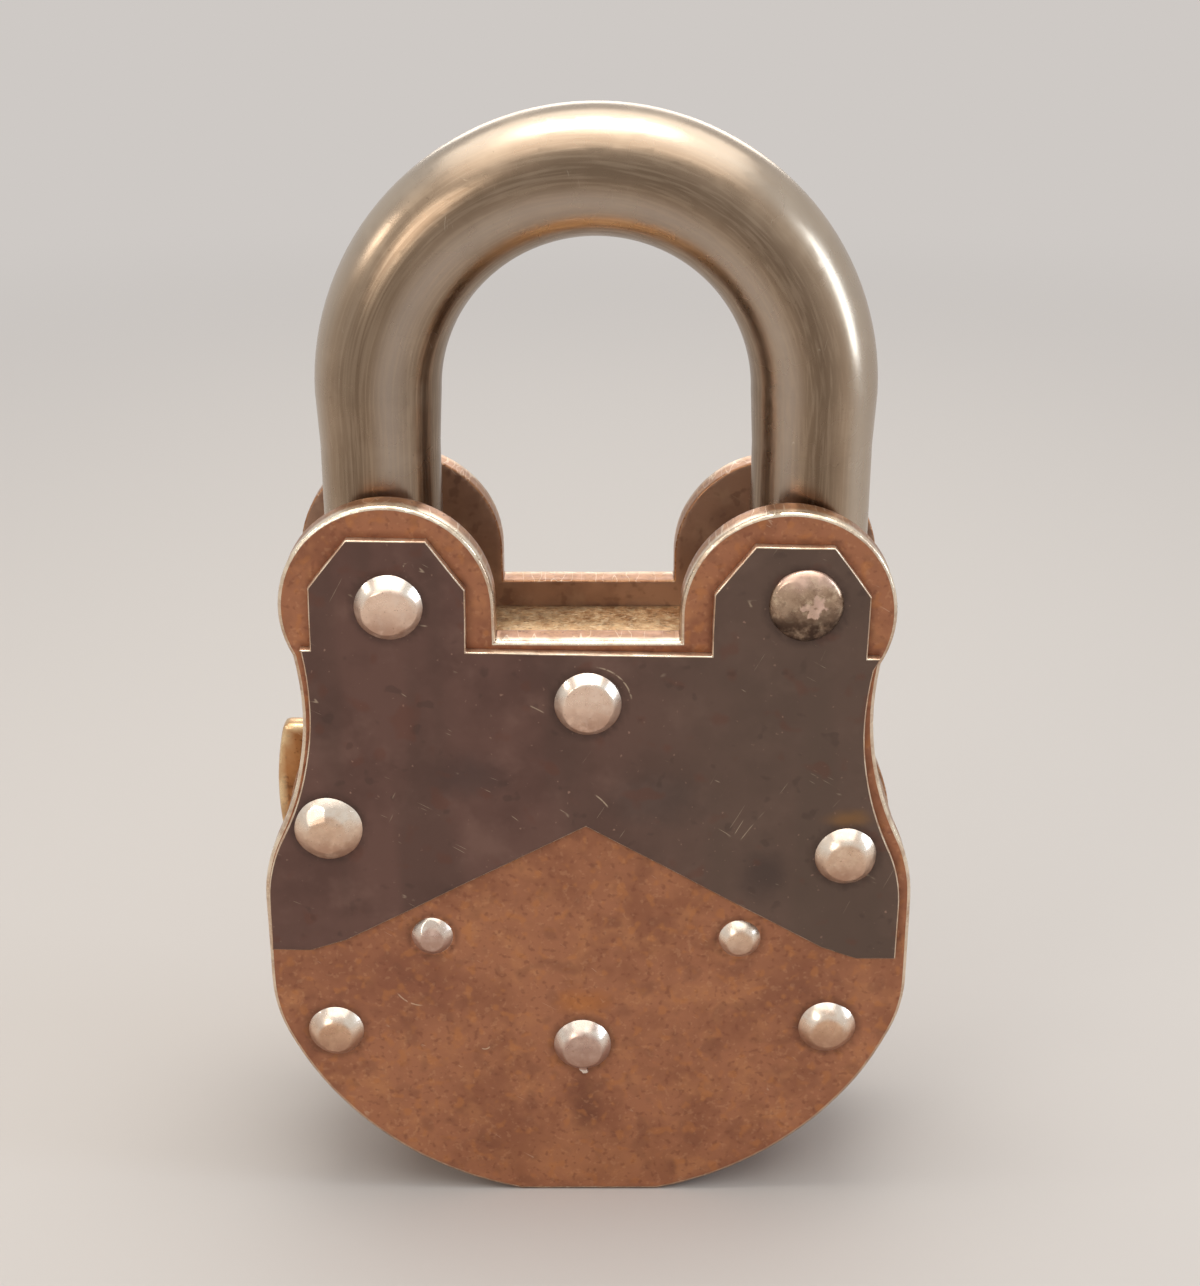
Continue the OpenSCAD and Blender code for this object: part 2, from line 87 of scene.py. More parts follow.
studio = {
    "floorColour": tint(206, 201, 197),
    "floorSize": 8.0,  # m
    "floorRough": 0.85,
    "floorFade": (0.02, 0.45),  # m from the middle, over which its plain colour takes over
    "skyColour": (0.88, 0.86, 0.84, 1),
    "skyStrength": 0.27,
    "backdropStrength": 0.74,  # what the camera and the metal see of the backdrop
    # name: place in mm, aimed at in mm, width and height in mm, watts, colour
    "lamps": {
        "softLamp": ((0, -30, 440), (0, -30, 60), (640, 620), 1.55, (1.0, 0.97, 0.93)),
        "overLamp": ((0, 10, 430), (0, 0, 60), (250, 130), 0.50, (1.0, 0.96, 0.90)),
        "frontLamp": ((-230, -300, 200), (0, 0, 35), (150, 150), 0.24, (1.0, 0.94, 0.86)),
        "leftLamp": ((-390, -40, 260), (0, 0, 70), (60, 60), 0.12, (1.0, 0.97, 0.92)),
        "rightLamp": ((300, -60, 130), (0, 0, 60), (60, 170), 0.20, (0.70, 0.84, 1.0)),
        "backLamp": ((10, 320, 170), (0, 0, 50), (260, 90), 0.18, (1.0, 0.97, 0.92)),
    },
}


def lamp(name, place, target, size, watts, colour):
    data = bpy.data.lights.new(name, "AREA")
    data.shape = "RECTANGLE"
    data.size = size[0] * mm
    data.size_y = size[1] * mm
    data.energy = watts
    data.color = colour
    body = bpy.data.objects.new(name, data)
    body.location = [v * mm for v in place]
    aim = Vector(target) - Vector(place)
    body.rotation_euler = aim.to_track_quat("-Z", "Y").to_euler()
    body.visible_camera = False
    bpy.context.collection.objects.link(body)


for lampName, setting in studio["lamps"].items():
    lamp(lampName, *setting)

world = bpy.data.worlds.new("studioWorld")
world.use_nodes = True
backdrop = world.node_tree.nodes["Background"]
backdrop.inputs["Color"].default_value = studio["skyColour"]
rays = world.node_tree.nodes.new("ShaderNodeLightPath")
seen = world.node_tree.nodes.new("ShaderNodeMath")
seen.operation = "MAXIMUM"
level = world.node_tree.nodes.new("ShaderNodeMapRange")
level.inputs["To Min"].default_value = studio["skyStrength"]
level.inputs["To Max"].default_value = studio["backdropStrength"]
world.node_tree.links.new(rays.outputs["Is Camera Ray"], seen.inputs[0])
world.node_tree.links.new(rays.outputs["Is Glossy Ray"], seen.inputs[1])
world.node_tree.links.new(seen.outputs[0], level.inputs["Value"])
world.node_tree.links.new(level.outputs["Result"], backdrop.inputs["Strength"])
bpy.context.scene.world = world
print("camera, lamps and world are set")


# finishes: a small kit of nodes, then one recipe that every metal here shares

def newFinish(name):
    material = bpy.data.materials.new(name)
    material.use_nodes = True
    tree = material.node_tree
    tree.nodes.clear()
    shader = tree.nodes.new("ShaderNodeBsdfPrincipled")
    output = tree.nodes.new("ShaderNodeOutputMaterial")
    tree.links.new(shader.outputs["BSDF"], output.inputs["Surface"])
    return material, tree, shader


def feed(tree, socket, value):
    if isinstance(value, bpy.types.NodeSocket):
        tree.links.new(value, socket)
    else:
        socket.default_value = value


def work(tree, operation, first, second=0.0):
    node = tree.nodes.new("ShaderNodeMath")
    node.operation = operation
    node.use_clamp = operation in ("ADD", "MULTIPLY", "SUBTRACT")
    feed(tree, node.inputs[0], first)
    feed(tree, node.inputs[1], second)
    return node.outputs[0]

def unclamped(value):
    value.node.use_clamp = False
    return value


def between(tree, value, low, high, outLow=0.0, outHigh=1.0):
    node = tree.nodes.new("ShaderNodeMapRange")
    node.interpolation_type = "SMOOTHSTEP"
    feed(tree, node.inputs["Value"], value)
    ends = {"From Min": low, "From Max": high, "To Min": outLow, "To Max": outHigh}
    for socket, number in ends.items():
        node.inputs[socket].default_value = number
    return node.outputs["Result"]


def blendColour(tree, amount, first, second):
    # sockets 6, 7 and 2 are the colour ones
    node = tree.nodes.new("ShaderNodeMix")
    node.data_type = "RGBA"
    feed(tree, node.inputs[0], amount)
    feed(tree, node.inputs[6], first)
    feed(tree, node.inputs[7], second)
    return node.outputs[2]


def painted(tree, name):
    node = tree.nodes.new("ShaderNodeAttribute")
    node.attribute_name = name
    return node.outputs["Fac"]


def axes(tree):
    # where a point lies on the object, as outputs X, Y and Z
    split = tree.nodes.new("ShaderNodeSeparateXYZ")
    tree.links.new(tree.nodes.new("ShaderNodeTexCoord").outputs["Object"], split.inputs[0])
    return split.outputs
def grain(tree, size, detail=3.0, rough=0.55, stretch=(1, 1, 1), turn=(0, 0, 0), shift=0.0):
    # size is in mm; a stretch over 1 draws the grain out along that axis
    coords = tree.nodes.new("ShaderNodeTexCoord")
    mapping = tree.nodes.new("ShaderNodeMapping")
    mapping.vector_type = "TEXTURE"
    mapping.inputs["Rotation"].default_value = [math.radians(a) for a in turn]
    mapping.inputs["Scale"].default_value = stretch
    mapping.inputs["Location"].default_value = (shift * mm, shift * mm, shift * mm)
    tree.links.new(coords.outputs["Object"], mapping.inputs["Vector"])
    node = tree.nodes.new("ShaderNodeTexNoise")
    node.inputs["Scale"].default_value = 1 / (size * mm)
    node.inputs["Detail"].default_value = detail
    node.inputs["Roughness"].default_value = rough
    tree.links.new(mapping.outputs["Vector"], node.inputs["Vector"])
    return node.outputs["Fac"]


hairline = {
    "detail": 1.0, "rough": 0.4,  # of the grain whose middle value is the line
    "patchSize": 1.6,  # of the patches that hold lines, against the grain's own size
    "patch": (0.66, 0.74),  # where a patch comes in, before its cover is taken off
}


def hairlines(tree, size, width, stretch, turn, shift, cover):
    # thin lines where a drawn-out grain crosses its middle value, kept in patches
    lines = grain(tree, size, hairline["detail"], hairline["rough"], stretch, turn, shift)
    offCentre = work(tree, "ABSOLUTE", unclamped(work(tree, "SUBTRACT", 0.5, lines)))
    thin = between(tree, offCentre, 0.0, width, 1.0, 0.0)
    start, full = hairline["patch"]
    patches = grain(tree, size * hairline["patchSize"], 2.0, 0.6, shift=shift + 7)
    patches = between(tree, patches, start - cover, full - cover)
    return work(tree, "MULTIPLY", thin, patches)
def away(tree, centre, reach):
    # 0 at the centre and 1 at the reach, seen along Y; places are (x, z) in mm
    node = tree.nodes.new("ShaderNodeTexCoord").outputs["Object"]
    for operation, values in (
            ("SUBTRACT", (centre[0] * mm, 0, centre[1] * mm)),
            ("MULTIPLY", (1 / (reach[0] * mm), 0, 1 / (reach[1] * mm)))):
        step = tree.nodes.new("ShaderNodeVectorMath")
        step.operation = operation
        tree.links.new(node, step.inputs[0])
        step.inputs[1].default_value = values
        node = step.outputs["Vector"]
    length = tree.nodes.new("ShaderNodeVectorMath")
    length.operation = "LENGTH"
    tree.links.new(node, length.inputs[0])
    return length.outputs["Value"]


scarWork = {
    "width": 0.09,  # mm to each side of the ring
    "fade": 0.6,  # share of the reach where it starts to end
    "gapSize": 0.5, "gaps": (0.40, 0.52),  # grain that breaks the line up
}


def scar(tree, ring, radius, middle, reach):
    # the stretch of a thin ring that lies near its middle point
    line = unclamped(work(tree, "SUBTRACT", away(tree, ring, (radius, radius)), 1.0))
    line = work(tree, "ABSOLUTE", line)
    line = between(tree, line, 0.0, scarWork["width"] / radius, 1.0, 0.0)
    near = between(tree, away(tree, middle, (reach, reach)), scarWork["fade"], 1.0, 1.0, 0.0)
    broken = grain(tree, scarWork["gapSize"], 2.0, 0.6, shift=41)
    broken = between(tree, broken, *scarWork["gaps"])
    return work(tree, "MULTIPLY", work(tree, "MULTIPLY", line, near), broken)


streakWork = {
    "size": 0.22, "detail": 3.0,
    "turn": 0.0009,  # how fast streaks change round the bow
    "climb": 0.03,  # and how fast up the legs
}


def brushed(tree, bow):
    # streaks that follow the rod, and how far out from the middle of the bow a point lies
    place = axes(tree)
    rise = work(tree, "SUBTRACT", place["Z"], bow["middle"] * mm)
    rise = work(tree, "MAXIMUM", rise, 0.0)
    out = work(tree, "MULTIPLY", place["X"], place["X"])
    total = work(tree, "ADD", out, work(tree, "MULTIPLY", rise, rise))
    around = work(tree, "POWER", total, 0.5)
    along = work(tree, "MULTIPLY", work(tree, "ARCTAN2", rise, place["X"]), streakWork["turn"])
    along = work(tree, "ADD", along, work(tree, "MULTIPLY", place["Z"], streakWork["climb"]))
    join = tree.nodes.new("ShaderNodeCombineXYZ")
    for number, value in enumerate((around, place["Y"], along)):
        tree.links.new(value, join.inputs[number])
    streaks = tree.nodes.new("ShaderNodeTexNoise")
    streaks.inputs["Scale"].default_value = 1 / (streakWork["size"] * mm)
    streaks.inputs["Detail"].default_value = streakWork["detail"]
    tree.links.new(join.outputs[0], streaks.inputs["Vector"])
    return streaks.outputs["Fac"], around


common = {
    # what all the metals share: the values of a grain between which a mark comes in
    "dark": (0.38, 0.66), "light": (0.48, 0.74), "upright": (0.46, 0.62),
    "streaks": (0.42, 0.66, 0.0, 0.26), "stainAndReflection": (0.55, 1.45), "gloss": (0.35, 0.68),
    "bare": (0.32, 0.60, 0.45, 1.0), "grimeAndShade": (0.20, 0.6, 0.3, 1.0),
    # sizes in mm, and how strong a mark is where no look sets it
    "fine": 0.12, "speckSoft": 0.07, "scarTone": 0.45, "patchRagged": 0.8, "grimeAndShadeRough": 0.3,
    # how much each one counts in the bump
    "lift": {
        "broad": 0.3, "specks": 0.18, "scars": 0.6, "streaks": 0.3, "scratches": 0.25, "fine": 0.15},
}


def raised(tree, height, mark, kind):
    return work(tree, "ADD", height, work(tree, "MULTIPLY", mark, common["lift"][kind]))


def metal(name, look):
    material, tree, shader = newFinish(name)
    # blotches of the dark and the light tone
    size, amount = look["blotch"]
    broad = grain(tree, size, 4.0, 0.6)
    dark = between(tree, broad, *common["dark"], 0.0, amount)
    colour = blendColour(tree, dark, look["base"], look["dark"])
    second = grain(tree, size * 0.55, 3.0, 0.6, shift=31)
    light = between(tree, second, *common["light"], 0.0, amount)
    colour = blendColour(tree, light, colour, look["light"])
    height = work(tree, "MULTIPLY", broad, common["lift"]["broad"])

    # tones that belong to one place: upright bands, a drift across, stains, where two warm patches are
    # painted reflections of rivet heads
    if "upright" in look:
        size, amount, bandColour = look["upright"]
        bands = grain(tree, size, 2.0, 0.5, (1, 1, 9), shift=63)
        bands = between(tree, bands, *common["upright"], 0.0, amount)
        colour = blendColour(tree, bands, colour, bandColour)
    if "drift" in look:
        start, end, driftColour, amount = look["drift"]
        across = between(tree, axes(tree)["X"], start * mm, end * mm, 0.0, amount)
        colour = blendColour(tree, across, colour, driftColour)
    for centre, reach, stainAndReflectionColour, amount in look.get("stainsAndReflections", ()):
        ragged = grain(tree, 1.8, 3.0, 0.6, shift=53)
        ragged = work(tree, "MULTIPLY", ragged, common["patchRagged"])
        edge = unclamped(work(tree, "ADD", away(tree, centre, reach), ragged))
        stainAndReflection = between(tree, edge, *common["stainAndReflection"], amount, 0.0)
        colour = blendColour(tree, stainAndReflection, colour, stainAndReflectionColour)

    # specks, scratches and brushing
    for number, (size, level, amount, speckColour) in enumerate(look.get("specks", ())):
        spots = grain(tree, size, 1.5, 0.5, shift=5 + 9 * number)
        spots = between(tree, spots, level, level + look.get("soft", common["speckSoft"]), 0.0, amount)
        colour = blendColour(tree, spots, colour, speckColour)
        height = raised(tree, height, spots, "specks")
    lines = None
    for number, (size, width, stretch, turn, cover) in enumerate(look["scratches"]):
        these = hairlines(tree, size, width, stretch, turn, 3 + 11 * number, cover)
        lines = these if lines is None else work(tree, "MAXIMUM", lines, these)
    for ring, radius, centre, reach in look.get("scars", ()):
        mark = scar(tree, ring, radius, centre, reach)
        tone = work(tree, "MULTIPLY", mark, common["scarTone"])
        colour = blendColour(tree, tone, colour, look["bright"])
        height = raised(tree, height, mark, "scars")
    if "brush" in look:
        bow = look["brush"]
        streaks, around = brushed(tree, bow)
        # bands of painted shade and painted reflection that run along the rod
        for *shares, amount, bandColour in bow["bands"]:
            # start, middle and end across the rod, 0 at its inner side and 1 at its outer one
            start, full, end = [(bow["inner"] + bow["rod"] * share) * mm for share in shares]
            rising = between(tree, around, start, full)
            falling = between(tree, around, full, end, 1.0, 0.0)
            band = work(tree, "MULTIPLY", rising, falling)
            colour = blendColour(tree, work(tree, "MULTIPLY", band, amount), colour, bandColour)
        tone = between(tree, streaks, *common["streaks"])
        colour = blendColour(tree, tone, colour, look["light"])
        height = raised(tree, height, streaks, "streaks")
    tone = work(tree, "MULTIPLY", lines, look["scratchTone"])
    colour = blendColour(tree, tone, colour, look["bright"])
    height = raised(tree, height, lines, "scratches")
    fine = grain(tree, look.get("fine", common["fine"]), 2.0, 0.6)
    height = raised(tree, height, fine, "fine")

    # bare metal where edges rub, with painted highlights on edges that face up, on the upper shoulders
    # of rivet heads and on the dome's crown, brighter and duller by turns along the edge
    usesWearAndHighlight = look.get("usesWearAndHighlight", True)
    if usesWearAndHighlight:
        uneven = between(tree, grain(tree, 1.7, 3.0, 0.6, shift=17), *common["bare"])
        brightened = work(tree, "MULTIPLY", painted(tree, "wearAndHighlight"), uneven)
        colour = blendColour(tree, brightened, colour, look["bright"])
    # dirt, and painted shade in corners round heads and the cheek, on the lower side of rivet heads, on
    # cheek edges that look down and across the back of the bridge
    patchy = between(tree, grain(tree, 0.9, 3.0, 0.6, shift=23), *common["grimeAndShade"])
    grimeAndShade = work(tree, "MULTIPLY", painted(tree, "dirtAndShade"), patchy)
    colour = blendColour(tree, grimeAndShade, colour, look["dirtAndShade"])

    rough = between(tree, second, *common["gloss"], *look["gloss"])
    metallic = look["metal"]
    if usesWearAndHighlight:
        mixRough = tree.nodes.new("ShaderNodeMix")
        feed(tree, mixRough.inputs[0], brightened)
        feed(tree, mixRough.inputs[2], rough)
        mixRough.inputs[3].default_value = look["brightGloss"]
        rough = mixRough.outputs[0]
        metallic = work(tree, "MAXIMUM", brightened, metallic)
    rough = work(tree, "ADD", rough, work(tree, "MULTIPLY", grimeAndShade, common["grimeAndShadeRough"]))
    bump = tree.nodes.new("ShaderNodeBump")
    bump.inputs["Strength"].default_value = 1.0
    bump.inputs["Distance"].default_value = look["depth"] * mm
    feed(tree, bump.inputs["Height"], height)
    feed(tree, shader.inputs["Base Color"], colour)
    feed(tree, shader.inputs["Roughness"], rough)
    feed(tree, shader.inputs["Metallic"], metallic)
    feed(tree, shader.inputs["Normal"], bump.outputs["Normal"])
    return material


# looks: blotch is (size in mm, amount), specks are (size, level, amount, colour), and scratches are
# (size, width, stretch, turn, cover); stains and scars give (x, z) places and reaches in mm, and some
# stains are painted reflections
cream = tint(255, 232, 200)
plateLook = {
    "base": tint(180, 121, 89), "dark": tint(148, 95, 70), "light": tint(202, 141, 98),
    "blotch": (5.0, 0.7), "metal": 0.62, "gloss": (0.36, 0.50), "depth": 0.022,
    "soft": 0.14, "usesWearAndHighlight": False,
    "specks": [(0.55, 0.56, 0.50, tint(136, 84, 64)), (0.42, 0.58, 0.22, tint(222, 168, 126)),
               (1.1, 0.55, 0.45, tint(200, 132, 80)), (1.9, 0.55, 0.35, tint(134, 88, 68))],
    "scratches": [(1.1, 0.010, (9, 1, 1), (0, 35, 0), 0.04)],
    "scratchTone": 0.25, "bright": cream, "dirtAndShade": tint(84, 54, 42),
}
plainPlateLook = dict(
    plateLook,
    stainsAndReflections=[((-16.0, 20.0), (8.0, 7.0), tint(150, 96, 74), 0.55),
            ((17.0, 19.0), (7.0, 7.0), tint(150, 98, 74), 0.5),
            ((0.0, 3.0), (12.0, 4.0), tint(200, 140, 98), 0.35),
            ((-0.3, 8.4), (1.7, 4.6), tint(112, 70, 56), 0.6),
            # a warm patch painted as the reflection of a rivet head
            ((-0.4, 18.2), (3.0, 1.6), tint(196, 122, 60), 0.5),
            ((-12.0, 20.4), (3.4, 2.2), tint(132, 80, 62), 0.4)],
    scars=[((-13.2, 20.2), 2.4, (-14.4, 18.2), 1.3), ((-8.4, 14.2), 0.5, (-8.3, 13.8), 0.4)])
cheekLook = {
    "base": tint(114, 84, 75), "dark": tint(90, 64, 57), "light": tint(132, 101, 90),
    "blotch": (7.0, 0.6), "metal": 0.55, "gloss": (0.30, 0.42), "depth": 0.012,
    "soft": 0.10, "usesWearAndHighlight": False,
    "specks": [(0.45, 0.69, 0.6, tint(176, 140, 122)), (2.2, 0.60, 0.35, tint(112, 68, 54)),
               (1.3, 0.64, 0.3, tint(66, 52, 48))],
    "scratches": [(1.3, 0.008, (12, 1, 1), (0, 28, 0), 0.03),
                  (1.9, 0.006, (10, 1, 1), (0, -60, 0), 0.02)],
    "scratchTone": 0.32, "bright": cream, "dirtAndShade": tint(62, 46, 40),
    "drift": (-6, 14, tint(102, 88, 76), 0.55), "upright": (5.0, 0.5, tint(92, 70, 62)),
}
plainCheekLook = dict(
    cheekLook,
    stainsAndReflections=[((13.5, 30.0), (2.4, 3.2), tint(66, 54, 52), 0.5),
            ((-9.0, 38.5), (3.6, 2.4), tint(72, 60, 58), 0.45),
            # a warm patch painted as the reflection of a rivet head
            ((19.9, 34.9), (2.4, 1.0), tint(158, 112, 58), 0.5),
            ((5.0, 36.5), (5.0, 3.0), tint(76, 66, 62), 0.4)],
    scars=[((0.2, 44.4), 3.1, (2.4, 46.6), 2.2), ((-13.0, 55.3), 0.4, (-13.1, 55.4), 0.5),
           ((-12.6, 45.4), 5.4, (-12.6, 50.8), 0.9), ((-2.0, 33.6), 4.2, (1.0, 36.4), 0.8)])
innerLook = dict(
    plateLook, base=tint(176, 138, 114), dark=tint(140, 106, 88), light=tint(190, 156, 128),
    metal=0.3, specks=[(0.9, 0.56, 0.5, tint(120, 88, 72))])
edgeLook = {
    "base": tint(176, 128, 94), "dark": tint(138, 94, 68), "light": tint(208, 164, 122),
    "blotch": (1.2, 0.6), "metal": 0.8, "gloss": (0.30, 0.44), "depth": 0.02,
    "specks": [(0.35, 0.64, 0.6, tint(96, 62, 44))],
    "scratches": [(0.8, 0.02, (1, 6, 1), (0, 0, 0), 0.4)],
    "scratchTone": 0.35, "bright": tint(255, 240, 216), "dirtAndShade": tint(74, 50, 38), "brightGloss": 0.26,
}
rimLook = {
    "base": tint(166, 116, 74), "dark": tint(118, 76, 50), "light": tint(196, 150, 100),
    "blotch": (2.6, 0.7), "metal": 0.85, "gloss": (0.30, 0.46), "depth": 0.03,
    "specks": [(0.5, 0.63, 0.5, tint(104, 66, 44))],
    "scratches": [(1.0, 0.008, (1, 10, 1), (0, 0, 12), 0.10),
                  (1.3, 0.006, (1, 1, 12), (12, 0, 0), 0.06)],
    "scratchTone": 0.3, "bright": tint(250, 222, 176), "dirtAndShade": tint(74, 50, 36), "brightGloss": 0.26,
}
bridgeLook = dict(
    rimLook, base=tint(246, 204, 152), light=tint(255, 232, 192), dark=tint(190, 140, 92),
    blotch=(0.9, 0.85),
    specks=[(0.45, 0.58, 0.7, tint(250, 222, 184)), (0.7, 0.62, 0.5, tint(130, 88, 56))],
    scratches=[(0.5, 0.05, (3, 1, 1), (0, 0, 18), 0.5), (0.45, 0.04, (2, 1, 1), (0, 0, -30), 0.4)],
    scratchTone=0.6, depth=0.05, dirtAndShade=tint(92, 66, 50))
shackleLook = {
    "base": tint(174, 151, 128), "dark": tint(148, 126, 104), "light": tint(196, 174, 150),
    "blotch": (9.0, 0.5), "metal": 1.0, "gloss": (0.24, 0.31), "depth": 0.006,
    "specks": [(0.30, 0.71, 0.4, tint(100, 84, 66))],
    "scratches": [(1.0, 0.006, (1, 1, 6), (8, 0, 0), 0.03)],
    "scratchTone": 0.3, "bright": tint(244, 234, 214), "dirtAndShade": tint(76, 60, 48), "brightGloss": 0.2,
    "fine": 0.2,
}
rivetLook = {
    "base": tint(236, 204, 178), "dark": tint(206, 170, 142), "light": tint(248, 224, 200),
    "blotch": (1.3, 0.5), "metal": 0.88, "gloss": (0.24, 0.36), "depth": 0.012,
    "specks": [(0.22, 0.68, 0.45, tint(150, 112, 86))],
    "scratches": [(0.5, 0.015, (3, 1, 1), (0, 30, 0), 0.1)],
    "scratchTone": 0.2, "bright": tint(255, 246, 232), "dirtAndShade": tint(172, 128, 106), "brightGloss": 0.20,
}
brightRivetLook = dict(
    rivetLook, base=tint(248, 218, 196), dark=tint(226, 192, 168), light=tint(254, 232, 214))
dullRivetLook = dict(
    rivetLook, base=tint(222, 182, 152), dark=tint(190, 148, 118), light=tint(238, 204, 172))
pinRivetLook = dict(
    rivetLook, base=tint(212, 180, 164), dark=tint(184, 150, 136), light=tint(230, 204, 190))
domeLook = {
    "base": tint(198, 168, 142), "dark": tint(150, 120, 98), "light": tint(228, 202, 172),
    "blotch": (1.2, 0.75), "metal": 0.9, "gloss": (0.14, 0.24), "depth": 0.02, "soft": 0.12,
    "specks": [(0.5, 0.58, 0.4, tint(120, 92, 74))],
    "scratches": [(0.7, 0.02, (3, 1, 1), (0, 40, 0), 0.1)],
    "scratchTone": 0.2, "bright": tint(250, 212, 194), "dirtAndShade": tint(74, 56, 46), "brightGloss": 0.45,
}
lockWorkLook = dict(
    rivetLook, base=tint(150, 140, 124), dark=tint(104, 92, 78), light=tint(178, 168, 150))
leverLook = dict(rimLook, base=tint(180, 142, 84), scratchTone=0.4)
leafLook = dict(
    lockWorkLook, base=tint(110, 112, 120), dark=tint(78, 78, 84), light=tint(140, 144, 152))
coverLook = dict(
    rimLook, base=tint(188, 130, 80), dark=tint(138, 90, 56), light=tint(212, 160, 104),
    blotch=(4.0, 0.7),
    scratches=[(1.2, 0.008, (10, 1, 1), (0, 20, 0), 0.05), (1.0, 0.006, (12, 1, 1), (0, -50, 0), 0.03)])

# the shackle's brushing follows its own rod and bow, and so do its bands of painted shade and painted
# reflection
bowLow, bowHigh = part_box("shackle")
rodAcross = (bowHigh.y - bowLow.y) / mm
bowOuter = (bowHigh.x - bowLow.x) / 2 / mm
shackleLook["brush"] = {
    "middle": bowHigh.z / mm - bowOuter, "inner": bowOuter - rodAcross, "rod": rodAcross,
    # start, middle, end, amount and colour
    # the dark bands are painted shade, at the inner side and across the middle of the rod; the pale
    # ones are painted reflections
    "bands": [(-0.6, 0.0, 0.35, 0.6, tint(92, 74, 58)),
              (0.30, 0.58, 0.80, 0.66, tint(100, 80, 62)),
              (0.10, 0.32, 0.48, 0.45, tint(184, 174, 166)),
              (0.76, 0.92, 1.3, 0.6, tint(208, 196, 180))],
}

looks = {
    "plateBrown": plateLook, "plainPlateBrown": plainPlateLook,
    "cheekDark": cheekLook, "plainCheekDark": plainCheekLook,
    "bareEdgeAndHighlight": edgeLook, "rimBrass": rimLook, "plateInner": innerLook, "bridgeBrass": bridgeLook,
    "shacklePewter": shackleLook,
    "rivetSteel": rivetLook, "rivetBright": brightRivetLook, "rivetDull": dullRivetLook,
    "rivetPin": pinRivetLook, "domeDark": domeLook,
    "lockWorkSteel": lockWorkLook, "leverBrass": leverLook, "leafBlue": leafLook,
    "coverBrass": coverLook,
}
finishes = {name: metal(name, look) for name, look in looks.items()}
print("finishes are made")


# pieces cut from the model's own solids, with eased edges and a fine grid for wear, painted highlight,
# painted shade and small dents

cutting = {
    "weld": 0.01, "flatAngle": 0.4,  # mm and degrees, under which points and faces count as one
    "edgeAngle": 30, "smoothAngle": 38,  # degrees
    "pointGap": 0.2,  # mm between the points that stand for an edge
    "snap": 0.001,  # mm
    "wearTop": 0.05,  # mm from an edge that stay fully worn
}


def openCopy(node):
    shape = bmesh.new()
    shape.from_mesh(cad[node].data)
    bmesh.ops.remove_doubles(shape, verts=shape.verts, dist=cutting["weld"] * mm)
    bmesh.ops.dissolve_limit(
        shape, angle_limit=math.radians(cutting["flatAngle"]), verts=shape.verts, edges=shape.edges)
    return shape


def sharpEdges(shape, angle=cutting["edgeAngle"]):
    limit = math.radians(angle)
    return [e for e in shape.edges if len(e.link_faces) == 2 and e.calc_face_angle(0) > limit]


def easeEdges(shape, edges, offset, clamp):
    bmesh.ops.bevel(
        shape, geom=edges, offset=offset * mm, offset_type="OFFSET", segments=2, profile=0.5,
        affect="EDGES", clamp_overlap=clamp)


def pointsAlong(edges):
    points = []
    for edge in edges:
        start, end = edge.verts[0].co, edge.verts[1].co
        count = max(1, math.ceil((end - start).length / (cutting["pointGap"] * mm)))
        points += [start.lerp(end, i / count) for i in range(count)]
    return points
def lookup(points):
    tree = kdtree.KDTree(len(points))
    for number, point in enumerate(points):
        tree.insert(point, number)
    tree.balance()
    return tree


def gridCut(shape, spacing):
    # spacing gives one value in mm for each axis, or 0 for none
    for axis, gap in enumerate(spacing):
        if not gap:
            continue
        values = [v.co[axis] for v in shape.verts]
        low, high = min(values), max(values)
        count = int((high - low) / (gap * mm))
        normal = Vector([1 if i == axis else 0 for i in range(3)])
        for i in range(1, count + 1):
            place = normal * (low + (high - low) * i / (count + 1))
            bmesh.ops.bisect_plane(
                shape, geom=shape.verts[:] + shape.edges[:] + shape.faces[:],
                dist=cutting["snap"] * mm, plane_co=place, plane_no=normal)


def closeUp(name, shape, body, replaced, materials, layers, sharp=cutting["smoothAngle"]):
    mesh = bpy.data.meshes.new(name)
    shape.to_mesh(mesh)
    shape.free()
    for layer in ("wearAndHighlight", "dirtAndShade"):
        values = layers.get(layer, [0.0] * len(mesh.vertices))
        mesh.attributes.new(layer, "FLOAT", "POINT").data.foreach_set("value", values)
    mesh.polygons.foreach_set("use_smooth", [True] * len(mesh.polygons))
    mesh.set_sharp_from_angle(angle=math.radians(sharp))
    piece = bpy.data.objects.new(name, mesh)
    for material in materials:
        mesh.materials.append(finishes[material])
    bpy.context.collection.objects.link(piece)
    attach(piece, body)
    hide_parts(*replaced)


def radiusOf(node):
    low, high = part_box(node)
    return (high.x - low.x) / 2


headPlaces = [
    (middle(node), radiusOf(node))
    for node in (
        "toe_rivet", "shackle_rivet", "top_rivet", "left_waist_rivet", "right_waist_rivet",
        "left_lower_rivet", "right_lower_rivet", "drill_pin", "bolt_post", "lever_post")
]


def ringShadeAndDirt(co, reach):
    # painted shade, with grime, darkens the corner round each head
    worst = 0.0
    for centre, radius in headPlaces:
        gap = math.hypot(co.x - centre.x, co.z - centre.z) - radius
        worst = max(worst, 1 - ease(0.0, reach, gap))
    return worst


